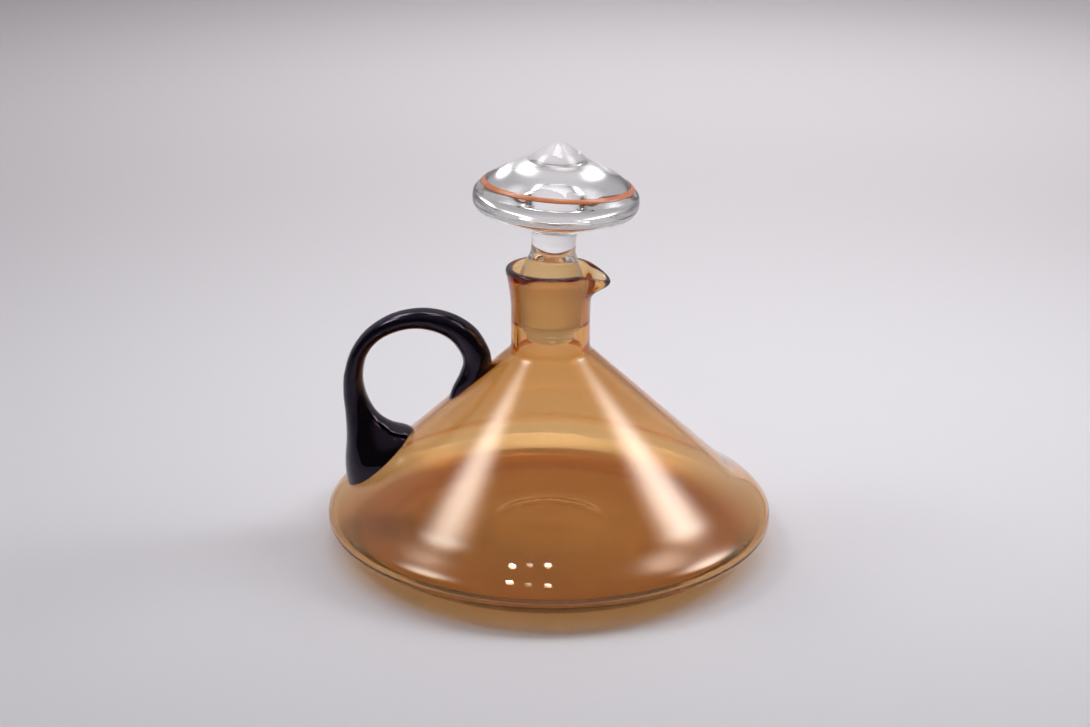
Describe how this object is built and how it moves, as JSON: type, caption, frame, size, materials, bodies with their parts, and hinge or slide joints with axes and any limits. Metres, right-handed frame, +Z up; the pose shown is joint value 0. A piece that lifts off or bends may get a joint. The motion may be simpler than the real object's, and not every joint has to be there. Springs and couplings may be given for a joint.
{
  "type": "glass decanter",
  "caption": "Low conical glass decanter with a pulled pouring lip, an applied loop handle and a lift-out mushroom stopper.",
  "frame": {"origin": "centre of the foot ring, on the surface that the decanter stands on", "axes": "+Z up along the neck's axis; -X towards the handle and +X towards the pouring lip, which is turned 10 degrees towards -Y"},
  "size_m": [0.17, 0.17, 0.1549],
  "materials": {
    "amber_glass": "fire-polished blown amber glass, ground dull inside the neck",
    "black_glass": "fire-polished black glass, deep violet where it is thin",
    "clear_glass": "polished clear glass with a ground plug",
    "orange_enamel": "fired glossy enamel line"
  },
  "bodies": {
    "decanter": {"body": "amber_glass", "handle": "black_glass"},
    "stopper": {"stopper": "clear_glass", "enamel_line": "orange_enamel"}
  },
  "joints": [
    {"name": "stopper_lift", "type": "slide", "parent": "decanter", "child": "stopper", "axis": [0, 0, 1], "range_m": [0, 0.06]}
  ]
}
